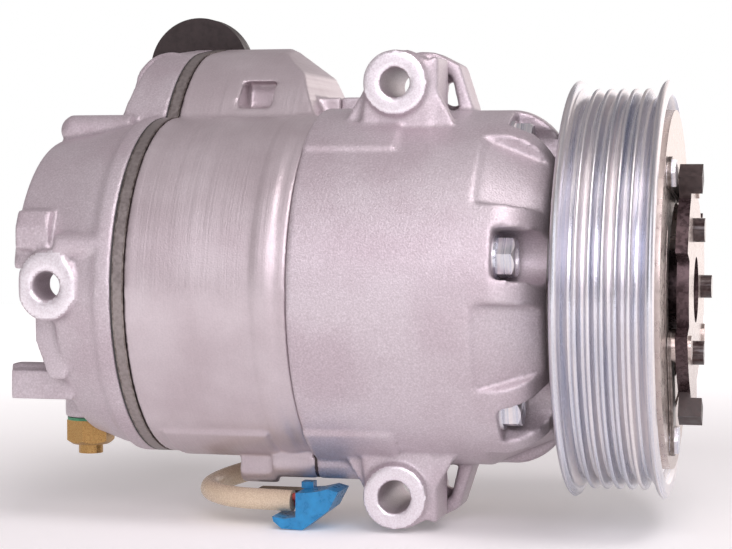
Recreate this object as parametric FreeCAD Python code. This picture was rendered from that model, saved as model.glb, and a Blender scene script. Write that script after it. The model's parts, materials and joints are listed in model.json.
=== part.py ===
import FreeCAD, Part
import math
import os
from FreeCAD import Vector

# Variable-displacement automotive air-conditioning compressor with an electromagnetic clutch.
# Millimetres. +X runs along the shaft towards the clutch, +Z is up and the ports face +Y.
# The origin is on the shaft axis at the middle of the belt.

os.makedirs("parts", exist_ok=True)

# ---- driving dimensions -------------------------------------------------------------------------
BLOCK_R = 50.3
HOUSING_R = 51.7
NOSE_X = -16.0
SHOULDER_X = -30.5
FRONT_SEAM_X = -87.5
REAR_SEAM_X = -134.8
HEAD_BACK_X = -170.8
HEAD_STEP_X = -158.5
HEAD_STEP_Z = 6.0
SUCTION_REED = 0.4
VALVE_PLATE = 2.5
DISCHARGE_REED = 0.4
HEAD_GASKET = 0.5

BOLT_COUNT = 6
BOLT_R = 43.8
BOLT_START_DEG = 13.5
BOLT_SHANK_R = 3.0
BOLT_HOLE_R = 3.2
BOLT_THREAD_R = 2.5
BOLT_HEAD_AF = 10.0
BOLT_HEAD_H = 5.0
WASHER_H = 1.0

CYLINDERS = 6
BORE_R = 13.0
BORE_PITCH_R = 29.5
BORE_START_DEG = 43.5
RUNNING_FIT = 0.05

SHAFT_R = 8.0
SWASH_X = -72.0
SWASH_R = 38.0
SWASH_HALF = 4.5
SLEEVE_R = 13.0
SHOE_R = 9.9
MAX_TILT_DEG = 18.0
SLOT_HALF = 8.8
BRIDGE_HALF = 12.3

PULLEY_R = 60.0
CREST_R = 57.6
ROOT_R = 54.7
PULLEY_HALF = 13.8
GROOVES = 6
GROOVE_PITCH = 3.56
BEARING_OD_R = 26.0
BEARING_ID_R = 17.5
BEARING_X0 = -12.0
BEARING_X1 = 8.0
FRICTION_X = 9.8
AIR_GAP = 0.5
ARMATURE_H = 4.5
ARMATURE_R = 51.4
HUB_X0 = 17.2
HUB_X1 = 20.6
ARMS = 3

EAR_X = -62.5
EAR_Z = 59.0
EAR_R = 9.3
EAR_NEAR_Y = -25.0
EAR_FAR_Y = 10.0
EAR_WINDOW_X = -50.8
EAR_WINDOW_Z = 56.8
EAR_WINDOW_R = 3.6
UPPER_BORE_R = 4.25
LOWER_BORE_R = 4.7
REAR_EAR_X = -158.5
REAR_EAR_Z = 1.4
REAR_EAR_R = 8.5
REAR_EAR_NEAR_Y = -48.5
REAR_EAR_FAR_Y = -34.0
REAR_BORE_R = 4.0

PORT_FACE_Y = 55.0
SUCTION_X = -147.2
DISCHARGE_X = -116.0
PORT_Z = 60.0
SUCTION_R = 6.5
SUCTION_SEAT_R = 7.6
DISCHARGE_R = 5.0
DISCHARGE_SEAT_R = 6.2
SEAT_DEPTH = 9.5
PORT_BOLT_X = -129.0
PORT_BOLT_Z = 64.0
PORT_BOLT_R = 4.0
PORT_BOLT_DEPTH = 16.0
PORT_DEPTH = 28.0
DISCHARGE_DUCT_Y = 33.0
DISCHARGE_DUCT_Z = 56.0
DISCHARGE_DUCT_R = 4.0
# Y and Z of the port block's outline, from the front of the top round to the underside.
PORT_PROFILE = [(-6, 40), (-1, 49.0), ((12, 63.0), (33, 71.6)), (50, 73.8), (PORT_FACE_Y, 73.0),
                (PORT_FACE_Y, 43), (39, 29), (20, 30)]

CONTROL_X = -158.0
CONTROL_Z = -22.0
CONTROL_R = 8.8
CONTROL_MOUTH_Y = 42.0
RELIEF_X = -161.4
RELIEF_Y = -5.0
RELIEF_SEAT_Z = -40.4
RELIEF_SHANK_R = 5.0
RELIEF_SHANK_LENGTH = 8.0

DOWEL_R = 2.0
DOWEL_PITCH_R = 45.2
DOWEL_DEGS = (163.0, 343.0)
PASSAGE_Y = -12.0
PASSAGE_Z = -50.5
PASSAGE_R = 2.0
PASSAGE_BOSS_R = 5.5

COIL_PLATE_X = -14.2
COIL_FRONT_X = 2.4
THREAD_R = 2.9
HUB_RIVET_PITCH_R = 20.0
HUB_LOBE_DEG = 60.0
HUB_LOBE_HALF_DEG = 40.0
HUB_LOBE_R = 33.5
LOBE_RIVET_PITCH_R = 29.5
LOBE_RIVET_DEG = 90.0
ARMATURE_RIVET_DEG = 49.0
ARMATURE_RIVET_PITCH_R = 44.0
LEAF_X0 = 15.0
LEAF_H = 0.5
LEAF_GAP = 0.1
STOP_DEGS = (57.0, 299.0)

LEAD_R = 3.1
LEAD_CLEARANCE = 0.4
LEAD_EXIT_DEG = 236.0
LEAD_EXIT_R = 41.5
CONNECTOR_Y0 = -25.0
CONNECTOR_Y1 = -11.0
CAP_THICKNESS = 7.4
# From the coil under the housing's far side, round the turn by the boss and back to the connector.
LEAD_ROUTE = [(-14.6, 23.2, -34.4), (-21.0, 23.6, -35.0), (-32.0, 31.5, -46.8), (-58, 33.5, -46.2),
              (-88, 27.0, -50.5), (-110, 17.5, -56.2), (-122.5, 6.0, -59.6), (-124.0, -7.5, -61.0),
              (-113.5, -17.0, -61.8), (-94.0, -18.6, -62.0)]

# ---- derived places -----------------------------------------------------------------------------
PLATE_X1 = REAR_SEAM_X - SUCTION_REED
PLATE_X0 = PLATE_X1 - VALVE_PLATE
REED_X0 = PLATE_X0 - DISCHARGE_REED
HEAD_X = REED_X0 - HEAD_GASKET
ARMATURE_X0 = FRICTION_X + AIR_GAP
ARMATURE_X1 = ARMATURE_X0 + ARMATURE_H
LEAF_TOP = LEAF_X0 + 2 * LEAF_H + LEAF_GAP
ORIGIN = Vector(0, 0, 0)
AXIS_X = Vector(1, 0, 0)
AXIS_Y = Vector(0, 1, 0)
AXIS_Z = Vector(0, 0, 1)


# ---- small helpers ------------------------------------------------------------------------------
def polar(deg, radius):
    """Y and Z of a place at an angle that starts at -Y and turns towards +Z."""
    a = math.radians(deg)
    return -radius * math.cos(a), radius * math.sin(a)


def angles(start, count):
    return [start + 360.0 * k / count for k in range(count)]


def rod(x0, x1, r, y=0.0, z=0.0):
    return Part.makeCylinder(r, x1 - x0, Vector(x0, y, z), AXIS_X)


def ring(x0, x1, outer, inner, y=0.0, z=0.0):
    return rod(x0, x1, outer, y, z).cut(rod(x0 - 1, x1 + 1, inner, y, z))


def rod_y(y0, y1, r, x, z):
    return Part.makeCylinder(r, y1 - y0, Vector(x, y0, z), AXIS_Y)


def rod_z(z0, z1, r, x, y):
    return Part.makeCylinder(r, z1 - z0, Vector(x, y, z0), AXIS_Z)


def block(x0, x1, y0, y1, z0, z1):
    return Part.makeBox(x1 - x0, y1 - y0, z1 - z0, Vector(x0, y0, z0))


def fuse(shapes):
    out = shapes[0]
    for s in shapes[1:]:
        out = out.fuse(s)
    return out.removeSplitter()


def cut(shape, tools):
    for t in tools:
        shape = shape.cut(t)
    return shape


def turn(shape, deg):
    """The shape carried about the shaft axis from -Y towards +Z."""
    out = shape.copy()
    out.rotate(ORIGIN, AXIS_X, -deg)
    return out


def around(shape, start, count):
    return [turn(shape, a) for a in angles(start, count)]


def outline(points):
    """Closed wire through points; a three-long entry is an arc's middle point, then its end."""
    edges = []
    last = points[0]
    for p in points[1:] + [points[0]]:
        if isinstance(p[0], Vector):
            edges.append(Part.Arc(last, p[0], p[1]).toShape())
            last = p[1]
        elif (p - last).Length > 1e-6:
            edges.append(Part.LineSegment(last, p).toShape())
            last = p
    return Part.Face(Part.Wire(edges))


def lathe(points):
    """Solid of revolution about the shaft axis from (x, radius) points, arcs as ((x, r), (x, r))."""
    path = []
    for p in points:
        if isinstance(p[0], tuple):
            path.append((Vector(p[0][0], 0, p[0][1]), Vector(p[1][0], 0, p[1][1])))
        else:
            path.append(Vector(p[0], 0, p[1]))
    return outline(path).revolve(ORIGIN, AXIS_X, 360)


def prism_x(x0, x1, yz):
    """Prism along X over (y, z) points, arcs as ((y, z), (y, z))."""
    path = []
    for p in yz:
        if isinstance(p[0], tuple):
            path.append((Vector(x0, *p[0]), Vector(x0, *p[1])))
        else:
            path.append(Vector(x0, *p))
    return outline(path).extrude(Vector(x1 - x0, 0, 0))


def prism_y(y0, y1, xz):
    face = outline([Vector(x, y0, z) for x, z in xz])
    return face.extrude(Vector(0, y1 - y0, 0))


def hexagon(x0, x1, across_flats, y=0.0, z=0.0, start=0.0):
    r = across_flats / math.sqrt(3)
    yz = []
    for k in range(6):
        dy, dz = polar(start + 60 * k, r)
        yz.append((y + dy, z + dz))
    return prism_x(x0, x1, yz)


def save(name, shape):
    solids = shape.Solids
    out = solids[0] if len(solids) == 1 else Part.makeCompound(solids)
    if not out.isValid() or not solids:
        raise ValueError(name + " is not a valid solid")
    out.exportStep("parts/" + name + ".step")
    box = out.BoundBox
    print(f"{name:28s} solids {len(solids):2d} volume {out.Volume:9.0f} "
          f"x {box.XMin:7.1f} {box.XMax:7.1f} y {box.YMin:6.1f} {box.YMax:6.1f} "
          f"z {box.ZMin:6.1f} {box.ZMax:6.1f}")


def bolt_places(radius=BOLT_R):
    return [polar(a, radius) for a in angles(BOLT_START_DEG, BOLT_COUNT)]


def bore_places():
    return [polar(a, BORE_PITCH_R) for a in angles(BORE_START_DEG, CYLINDERS)]


# ---- castings -----------------------------------------------------------------------------------
def seam_plate(x0, x1):
    """The outline that the rear head, plates and cylinder block share at the rear seam."""
    return rod(x0, x1, BLOCK_R).fuse(prism_x(x0, x1, PORT_PROFILE))


def bolt_holes(x0, x1, r=BOLT_HOLE_R):
    return [rod(x0, x1, r, y, z) for y, z in bolt_places()]


def discharge_duct(x0, x1):
    return rod(x0, x1, DISCHARGE_DUCT_R, DISCHARGE_DUCT_Y, DISCHARGE_DUCT_Z)


def line_port(x, r, seat_r):
    """A bore for a refrigerant line, with a wider seat at its mouth."""
    bore = rod_y(PORT_FACE_Y - PORT_DEPTH, PORT_FACE_Y + 1, r, x, PORT_Z)
    seat = rod_y(PORT_FACE_Y - SEAT_DEPTH, PORT_FACE_Y + 1, seat_r, x, PORT_Z)
    return [bore, seat]


def head_body():
    """Round head: its upper part reaches further back than its lower part."""
    rim = [(HEAD_X, 0), (HEAD_X, BLOCK_R), (-143.4, BLOCK_R), ((-144.9, 48.9), (-147.6, 48.2))]
    upper = lathe(rim + [(-157.0, 46.0), (-168.6, 43.8), ((-170.2, 43.2), (HEAD_BACK_X, 41.6)),
                         (HEAD_BACK_X, 0)])
    lower = lathe(rim + [(-155.0, 45.6), ((-157.6, 44.2), (HEAD_STEP_X, 41.4)), (HEAD_STEP_X, 0)])
    return lower.fuse(upper.common(block(-175, HEAD_X, -60, 60, HEAD_STEP_Z, 60)))


def rear_head():
    port_half = prism_x(-158.5, HEAD_X, PORT_PROFILE)
    slope = prism_y(-10, 70, [(-143.5, 90), (-143.5, 74.6), (-154, 66.5), (-175, 66.5), (-175, 90)])
    lean = prism_y(-10, 70, [(-155.0, 35), (-175, 35), (-175, 80), (-149.0, 80)])
    port_half = cut(port_half, [slope, lean])
    boss = rod_y(30, PORT_FACE_Y, 12.0, SUCTION_X, PORT_Z)
    parts = [head_body(), port_half, boss.common(block(-170, HEAD_X, 0, PORT_FACE_Y, 40, 80))]
    parts.append(rod(-168.0, -148, 4.7, -2.0, 46.5))
    parts.append(Part.makeSphere(4.7, Vector(-166.6, -2.0, 46.5)).common(block(-175, -160, -10, 10, 40, 52)))
    parts.append(rear_ear())
    parts.append(prism_x(-169.4, -159.0, [(-45, 11.5), (-45, 18), (-42.5, 22.8), (-30, 22.8), (-30, 11.5)]))
    parts.append(rod(-156.5, -143.0, 3.8, -44.8, 12.6))
    parts.append(stub_bar())
    parts.append(rod_y(-8, CONTROL_MOUTH_Y, 12.0, CONTROL_X, CONTROL_Z))
    parts.append(rod_z(RELIEF_SEAT_Z, -24, 7.6, RELIEF_X, RELIEF_Y))
    shape = fuse(parts)
    cuts = bolt_holes(-149.5, HEAD_X + 1, BOLT_THREAD_R)
    cuts += head_chambers(-148.0, HEAD_X + 1)
    cuts += line_port(SUCTION_X, SUCTION_R, SUCTION_SEAT_R)
    cuts.append(Part.makeCylinder(4.5, 40, Vector(-145.0, 32, 62), Vector(0, -0.35, -1)))
    cuts.append(discharge_duct(-144.0, HEAD_X + 1))
    cuts.append(rod_y(-4, CONTROL_MOUTH_Y + 1, CONTROL_R, CONTROL_X, CONTROL_Z))
    cuts.append(rod_y(CONTROL_MOUTH_Y - 2.6, CONTROL_MOUTH_Y - 1.4, CONTROL_R + 0.9, CONTROL_X, CONTROL_Z))
    cuts.append(rod_z(RELIEF_SEAT_Z - 14, RELIEF_SEAT_Z, 8.4, RELIEF_X, RELIEF_Y))
    bore_end = RELIEF_SEAT_Z + RELIEF_SHANK_LENGTH + 0.4
    cuts.append(rod_z(RELIEF_SEAT_Z - 1, bore_end, RELIEF_SHANK_R, RELIEF_X, RELIEF_Y))
    cuts.append(rod_y(REAR_EAR_NEAR_Y - 1, REAR_EAR_FAR_Y + 0.1, REAR_BORE_R, REAR_EAR_X, REAR_EAR_Z))
    groove = REAR_BORE_R + 0.6
    z = REAR_EAR_Z
    cuts.append(block(HEAD_BACK_X - 5, -153.8, REAR_EAR_FAR_Y, REAR_EAR_FAR_Y + 6.0, z - groove, z + groove))
    cuts.append(block(HEAD_BACK_X - 5, -156.4, REAR_EAR_FAR_Y, 50, z - groove, z + groove))
    cuts += dowel_holes(HEAD_X - 4, HEAD_X + 1)
    return cut(shape, cuts)


def head_chambers(x0, x1):
    """The outer suction and inner discharge chambers, each crossed by three ribs."""
    ribs = fuse(around(block(x0 - 1, x1 + 1, -BLOCK_R, 0, -2.0, 2.0), BORE_START_DEG, 3))
    return [ring(x0, x1, 37.0, 23.0).cut(ribs), ring(x0, x1, 19.5, 9.0).cut(ribs)]


def rear_ear():
    """Ear beside the head's back edge, with a rib that runs down to the stub bar."""
    y0, y1 = REAR_EAR_NEAR_Y, REAR_EAR_FAR_Y
    x, z = REAR_EAR_X, REAR_EAR_Z
    tube = rod_y(y0, y1, REAR_EAR_R, x, z + 1.6)
    lower = rod_y(y0, y1, REAR_EAR_R, x, z - 1.6)
    side = block(x - REAR_EAR_R, x + REAR_EAR_R, y0, y1, z - 1.6, z + 1.6)
    rib = prism_y(-40.0, -30.0, [(-165.4, -5), (-165.2, -15), (-161.0, -26), (-156, -26), (-156, -5)])
    return fuse([tube, lower, side, rib])


def stub_bar():
    bar = block(-175.0, -156.0, -34.5, -23.0, -32.4, -23.9)
    ridge = block(-176.0, -156.0, -32.0, -25.0, -24.2, -22.2)
    return bar.fuse(ridge)


def dowel_holes(x0, x1):
    return [rod(x0, x1, DOWEL_R, *polar(a, DOWEL_PITCH_R)) for a in DOWEL_DEGS]


def bottom_pad(x0, x1, r, half_deg):
    """A cast pad that stands a little proud of the round underside."""
    pad = ring(x0, x1, r + 0.9, r - 2)
    y = r * math.sin(math.radians(half_deg))
    return pad.common(block(x0 - 1, x1 + 1, -y, y, -r - 5, -20))


def cylinder_block():
    parts = [rod(REAR_SEAM_X, FRONT_SEAM_X, BLOCK_R)]
    port_half = prism_x(REAR_SEAM_X, -92.0, PORT_PROFILE)
    end = prism_y(-10, 70, [(-113.5, 74.6), (-99.0, 64.0), (-92.0, 50.0), (-90.0, 40), (-80, 40), (-80, 90),
                            (-113.5, 90)])
    parts.append(cut(port_half, [end]))
    parts.append(bottom_pad(-130.0, -99.0, BLOCK_R, 36))
    parts.append(rod(-101.0, FRONT_SEAM_X, PASSAGE_BOSS_R, PASSAGE_Y, PASSAGE_Z))
    parts.append(rod(-111.5, -100.5, 3.9, -10.5, -54.0))
    parts.append(prism_x(-111.5, -100.5, [(-14.4, -46), (-14.4, -54), (-6.6, -54), (-6.6, -46)]))
    parts.append(block(-100.0, FRONT_SEAM_X, 14, 30, 36, 56.5))
    parts.append(rod(-97.0, FRONT_SEAM_X - 5, BLOCK_R + 0.5))
    shape = fuse(parts)
    cuts = bolt_holes(REAR_SEAM_X - 1, FRONT_SEAM_X + 1)
    cuts += [rod(REAR_SEAM_X - 1, FRONT_SEAM_X + 1, BORE_R, y, z) for y, z in bore_places()]
    cuts.append(rod(-119.0, FRONT_SEAM_X + 1, 11.0))
    cuts.append(rod(REAR_SEAM_X - 1, -118.0, 5.0))
    cuts += line_port(DISCHARGE_X, DISCHARGE_R, DISCHARGE_SEAT_R)
    cuts.append(rod_y(PORT_FACE_Y - PORT_BOLT_DEPTH, PORT_FACE_Y + 1, PORT_BOLT_R, PORT_BOLT_X, PORT_BOLT_Z))
    cuts.append(discharge_duct(REAR_SEAM_X - 1, DISCHARGE_X))
    cuts.append(prism_x(-117.0, -106.5, [(-20, 53.0), (15, 53.0), (17, 61.5), (-20, 61.5)]))
    cuts.append(ring(FRONT_SEAM_X - 2.0, FRONT_SEAM_X + 1, 49.2, 47.4))
    cuts.append(rod(-112.0, FRONT_SEAM_X + 1, PASSAGE_R, PASSAGE_Y, PASSAGE_Z))
    cuts.append(passage_seal_pocket())
    cuts += dowel_holes(REAR_SEAM_X - 1, REAR_SEAM_X + 5)
    return cut(shape, cuts)


def front_ear(side, bore_r):
    """A mounting ear with its tube along Y; side is +1 above the shaft and -1 below it."""
    z = EAR_Z
    parts = [rod_y(EAR_NEAR_Y, EAR_FAR_Y, EAR_R, EAR_X, z)]
    web = [(-73.5, 42), (-71.2, 60), (-66, z + 8), (-59, z + EAR_R), (-52.4, 65.0), (-52.4, 42)]
    parts.append(prism_y(EAR_NEAR_Y + 2.0, EAR_NEAR_Y + 9, web))
    rear_fin = [(-79.5, 42), (-79.0, 46.5), (-71, 59.5), (-60, 58), (-60, 42)]
    parts.append(prism_y(EAR_NEAR_Y + 4.0, EAR_NEAR_Y + 8.0, rear_fin))
    front_fin = [(-60, 42), (-60, 58), (-51.6, 58.5), (-45.2, 46.5), (-45.2, 42)]
    parts.append(prism_y(EAR_NEAR_Y + 2.5, EAR_NEAR_Y + 6.0, front_fin))
    parts.append(block(-52.6, -50.4, EAR_NEAR_Y + 2.6, -6.0, 44, 66.4))
    parts.append(prism_y(EAR_NEAR_Y + 9, EAR_FAR_Y, [(-70, 40), (-68, 60), (-56, 60), (-56, 40)]))
    strap = [(-62, 68.2), (-59.5, 68.9), (-55, 68.6), (-47.6, 64.8), (-43.6, 52.5), (-43, 46),
             (-46.4, 46), (-50, 61.4), (-56, 65.2), (-62, 65.2)]
    parts.append(prism_y(-4.0, EAR_FAR_Y, strap))
    wall = prism_y(4.0, 8.0, [(-60, 66), (-54.5, 65.6), (-48.4, 62.6), (-44.5, 50), (-43.6, 40), (-60, 40)])
    parts.append(wall.cut(rod_y(0, 12, EAR_WINDOW_R, EAR_WINDOW_X, EAR_WINDOW_Z)))
    shape = fuse(parts)
    if side < 0:
        shape = shape.mirror(ORIGIN, AXIS_Z)
    return shape.cut(rod_y(EAR_NEAR_Y - 1, EAR_FAR_Y + 1, bore_r, EAR_X, side * z))


def nose_scallops():
    """The cast hollows between the bolt lobes, each a cone with sloping flanks."""
    cone = lathe([(-37.5, HOUSING_R + 0.6), (-35.0, 50.4), (-18.0, 43.0), (-10, 41.0), (-10, 62),
                  (-37.5, 62)])
    corners = [polar(-10.0, 36.0), polar(-14.8, 54.0), polar(-22.0, 66.0)]
    wedge = prism_x(-40, -8, corners + [(y, -z) for y, z in reversed(corners)])
    return around(cone.common(wedge), BOLT_START_DEG + 30.0, BOLT_COUNT)


def front_housing():
    outer = lathe([(FRONT_SEAM_X, 0), (FRONT_SEAM_X, HOUSING_R), (SHOULDER_X, HOUSING_R),
                   ((-21.4, 47.6), (NOSE_X, 38.5)), (NOSE_X, 19.4), (BEARING_X0, 19.4),
                   (BEARING_X0, BEARING_ID_R), (9.2, BEARING_ID_R), (9.2, 0)])
    parts = [outer]
    parts.append(bottom_pad(FRONT_SEAM_X, -62.0, HOUSING_R, 40))
    parts.append(turn(bottom_pad(FRONT_SEAM_X, -61.0, HOUSING_R, 40), 180))
    parts.append(rod(FRONT_SEAM_X, -73.5, PASSAGE_BOSS_R, PASSAGE_Y, PASSAGE_Z))
    parts.append(block(FRONT_SEAM_X, -79.0, 14, 30, 36, 56.5))
    parts.append(front_ear(1, UPPER_BORE_R))
    parts.append(front_ear(-1, LOWER_BORE_R))
    shape = fuse(parts)
    cuts = bolt_holes(FRONT_SEAM_X - 1, SHOULDER_X + 1)
    for y, z in bolt_places():
        cuts.append(rod(SHOULDER_X, 0, 7.4, y, z))
        k = (BOLT_R + 5) / BOLT_R
        cuts.append(rod(SHOULDER_X, 0, 7.4, k * y, k * z))
    cuts.append(rod(FRONT_SEAM_X - 1, -36.0, 46.3))
    cuts.append(rod(FRONT_SEAM_X - 1, -28.0, 37.5))
    cuts.append(rod(-29.0, 10.0, 12.0))
    cuts.append(rod(FRONT_SEAM_X - 1, -80.0, PASSAGE_R, PASSAGE_Y, PASSAGE_Z))
    cuts.append(tube_along(LEAD_ROUTE[:5], LEAD_R + LEAD_CLEARANCE))
    cuts.append(passage_seal_pocket())
    cuts += nose_scallops()
    return cut(shape, cuts)


# ---- rear plates, gaskets and fasteners ---------------------------------------------------------
def plate_holes(shape, x0, x1):
    cuts = bolt_holes(x0 - 1, x1 + 1)
    cuts += dowel_holes(x0 - 1, x1 + 1)
    cuts.append(discharge_duct(x0 - 1, x1 + 1))
    return cut(shape, cuts)


def rear_head_gasket():
    shape = plate_holes(seam_plate(HEAD_X, REED_X0), HEAD_X, REED_X0)
    return cut(shape, head_chambers(HEAD_X - 1, REED_X0 + 1))


def port_windows(x0, x1):
    """A suction and a discharge hole for each cylinder."""
    cuts = []
    for a in angles(BORE_START_DEG, CYLINDERS):
        cuts.append(rod(x0 - 1, x1 + 1, 3.2, *polar(a, 33.0)))
        cuts.append(rod(x0 - 1, x1 + 1, 2.2, *polar(a, 17.3)))
    return cuts


def reed_slots(x0, x1, r_mid, start):
    """Cut lines that free one tongue per cylinder."""
    tongue = block(x0 - 1, x1 + 1, -r_mid - 4.0, -r_mid + 7.0, -4.2, 4.2)
    tongue = tongue.cut(block(x0 - 2, x1 + 2, -r_mid - 3.2, -r_mid + 8.0, -3.4, 3.4))
    return around(tongue, start, CYLINDERS)


def valve_plate():
    shape = plate_holes(seam_plate(PLATE_X0, PLATE_X1), PLATE_X0, PLATE_X1)
    return cut(shape, port_windows(PLATE_X0, PLATE_X1))


def discharge_reed_plate():
    shape = plate_holes(seam_plate(REED_X0, PLATE_X0), REED_X0, PLATE_X0)
    cuts = [rod(REED_X0 - 1, PLATE_X0 + 1, 3.4, *polar(a, 33.0)) for a in angles(BORE_START_DEG, CYLINDERS)]
    return cut(shape, cuts + reed_slots(REED_X0, PLATE_X0, 15.0, BORE_START_DEG))


def suction_reed_plate():
    shape = plate_holes(seam_plate(PLATE_X1, REAR_SEAM_X), PLATE_X1, REAR_SEAM_X)
    cuts = [rod(PLATE_X1 - 1, REAR_SEAM_X + 1, 2.4, *polar(a, 17.3)) for a in angles(BORE_START_DEG, CYLINDERS)]
    return cut(shape, cuts + reed_slots(PLATE_X1, REAR_SEAM_X, 34.0, BORE_START_DEG))


def through_bolts():
    bolts = []
    for y, z in bolt_places():
        x0 = SHOULDER_X + WASHER_H
        head = hexagon(x0, x0 + BOLT_HEAD_H, BOLT_HEAD_AF, y, z, 12.0)
        dome = Part.makeCone(6.4, 4.4, 2.2, Vector(x0 + BOLT_HEAD_H - 1.6, y, z), AXIS_X)
        crown = rod(x0 - 1, x0 + BOLT_HEAD_H - 1.6, 6.4, y, z).fuse(dome)
        head = head.common(crown)
        dish = rod(x0 + BOLT_HEAD_H - 0.6, x0 + BOLT_HEAD_H + 1, 3.0, y, z)
        shank = rod(HEAD_X, x0, BOLT_SHANK_R, y, z)
        thread = rod(-147.5, HEAD_X, BOLT_THREAD_R, y, z)
        bolts.append(head.cut(dish).fuse(shank).fuse(thread).removeSplitter())
    return Part.makeCompound(bolts)


def bolt_washers():
    rings = [ring(SHOULDER_X, SHOULDER_X + WASHER_H, 6.3, BOLT_HOLE_R, y, z) for y, z in bolt_places()]
    return Part.makeCompound(rings)


def locating_dowels():
    return Part.makeCompound(dowel_holes(HEAD_X - 3.5, REAR_SEAM_X + 4.5))


def housing_o_ring():
    return Part.makeTorus(48.3, 0.9, Vector(FRONT_SEAM_X - 0.95, 0, 0), AXIS_X)


def passage_seal_pocket():
    pocket = rod(FRONT_SEAM_X - 0.6, FRONT_SEAM_X + 0.6, PASSAGE_BOSS_R - 0.3, PASSAGE_Y, PASSAGE_Z)
    return pocket.cut(rod(FRONT_SEAM_X - 2, FRONT_SEAM_X + 2, 49.6))


def passage_seal():
    return passage_seal_pocket().cut(rod(FRONT_SEAM_X - 2, FRONT_SEAM_X + 2, PASSAGE_R, PASSAGE_Y, PASSAGE_Z))


def relief_valve():
    z = RELIEF_SEAT_Z
    hexa = hexagon(0, 7.4, 12.6)
    hexa.rotate(ORIGIN, AXIS_Y, 90)
    hexa.translate(Vector(RELIEF_X, RELIEF_Y, z - 0.8))
    trim = Part.makeCone(5.6, 7.9, 1.6, Vector(RELIEF_X, RELIEF_Y, z - 8.2), AXIS_Z)
    trim = trim.fuse(rod_z(z - 6.6, z + 1, 7.9, RELIEF_X, RELIEF_Y))
    body = hexa.common(trim)
    shank = rod_z(z - 0.8, z + RELIEF_SHANK_LENGTH, RELIEF_SHANK_R, RELIEF_X, RELIEF_Y)
    tip = rod_z(z - 11.0, z - 8.2, 3.7, RELIEF_X, RELIEF_Y)
    shape = fuse([body, shank, tip])
    return shape.cut(rod_z(z - 12, z - 4, 1.6, RELIEF_X, RELIEF_Y))


def relief_valve_o_ring():
    z = RELIEF_SEAT_Z
    outer = rod_z(z - 0.8, z, 7.0, RELIEF_X, RELIEF_Y)
    return outer.cut(rod_z(z - 2, z + 1, RELIEF_SHANK_R, RELIEF_X, RELIEF_Y))


def control_valve():
    x, z = CONTROL_X, CONTROL_Z
    body = rod_y(-3.5, CONTROL_MOUTH_Y - 2.8, CONTROL_R - RUNNING_FIT, x, z)
    grooves = []
    for y in (4.0, 14.0, 24.0):
        grooves.append(rod_y(y, y + 4.0, CONTROL_R + 1, x, z).cut(rod_y(y, y + 4.0, CONTROL_R - 1.6, x, z)))
    return cut(body, grooves)


def control_valve_circlip():
    y1 = CONTROL_MOUTH_Y - 1.5
    shape = rod_y(y1 - 1.0, y1, CONTROL_R + 0.8, CONTROL_X, CONTROL_Z)
    shape = shape.cut(rod_y(y1 - 2, y1 + 1, CONTROL_R - 1.8, CONTROL_X, CONTROL_Z))
    return shape.cut(block(CONTROL_X - 2, CONTROL_X + 2, 30, 50, CONTROL_Z - 12, CONTROL_Z))


# ---- shaft, rotor and swash plate ---------------------------------------------------------------
def drive_shaft():
    shape = lathe([(-117.0, 0), (-117.0, 7.2), (-116.2, SHAFT_R), (-94.0, SHAFT_R), (-94.0, 10.0),
                   (-91.0, 10.0), (-91.0, SHAFT_R), (2.0, SHAFT_R), (2.0, 6.5), (15.0, 6.5), (15.0, 0)])
    return shape.cut(rod(0.0, 16.0, THREAD_R))


def rotor_plate():
    """The lug plate that turns with the shaft; its two ears stand beside the swash plate's arm."""
    disc = ring(-39.0, -32.0, 36.0, SHAFT_R)
    hub = ring(-40.0, -39.0, 13.0, SHAFT_R)
    ears = [block(-44.0, -39.0, -21.0, -14.0, z, z + 3.0) for z in (-7.5, 4.5)]
    shape = fuse([disc, hub] + ears)
    return cut(shape, [rod(-41, -30, 4.0, *polar(a, 28.0)) for a in angles(60, 6)])


def swash_sleeve():
    ball = Part.makeSphere(SLEEVE_R, Vector(SWASH_X, 0, 0))
    ball = ball.common(rod(SWASH_X - 9.5, SWASH_X + 9.5, 20))
    return ball.cut(rod(SWASH_X - 20, SWASH_X + 20, SHAFT_R + RUNNING_FIT))


def swash_plate():
    disc = rod(SWASH_X - SWASH_HALF, SWASH_X + SWASH_HALF, SWASH_R)
    hub = rod(SWASH_X - 6.0, SWASH_X + 6.0, 19.0)
    arm = block(SWASH_X + 5.0, SWASH_X + SWASH_HALF + 5.5, -17.5, -12.6, -3.0, 3.0)
    shape = fuse([disc, hub, arm])
    return shape.cut(Part.makeSphere(SLEEVE_R + RUNNING_FIT, Vector(SWASH_X, 0, 0)))


def piston_shoes():
    shoes = []
    for y, z in bore_places():
        ball = Part.makeSphere(SHOE_R, Vector(SWASH_X, y, z))
        flat = SWASH_HALF + RUNNING_FIT
        for x0, x1 in ((SWASH_X + flat, SWASH_X + 20), (SWASH_X - 20, SWASH_X - flat)):
            shoes.append(ball.common(rod(x0, x1, 20, y, z)))
    return Part.makeCompound(shoes)


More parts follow.
